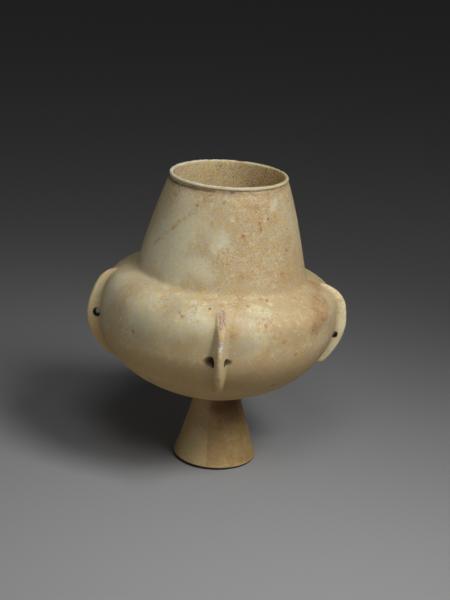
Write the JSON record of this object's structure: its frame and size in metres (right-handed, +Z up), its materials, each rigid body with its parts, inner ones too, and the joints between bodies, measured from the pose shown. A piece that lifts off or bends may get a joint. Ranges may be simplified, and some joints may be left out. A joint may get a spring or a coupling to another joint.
{
  "type": "footed vase",
  "caption": "Hollow stone jar carved in one piece: conical foot, wide rounded bowl with upright pierced lugs, and a tall tapering collar with a beaded lip.",
  "frame": {"origin": "middle of the foot's flat underside, on the surface that the vase stands on", "axes": "+Z up along the turned axis of the foot, -Y towards the front lug, +X towards the right lug as seen from the front"},
  "size_m": [0.218, 0.2184, 0.2506],
  "materials": {
    "marble": "worn, hand-smoothed marble with a warm buff patina, pale translucent areas and orange-brown specks"
  },
  "bodies": {
    "root": {"vase": "marble"}
  },
  "joints": []
}
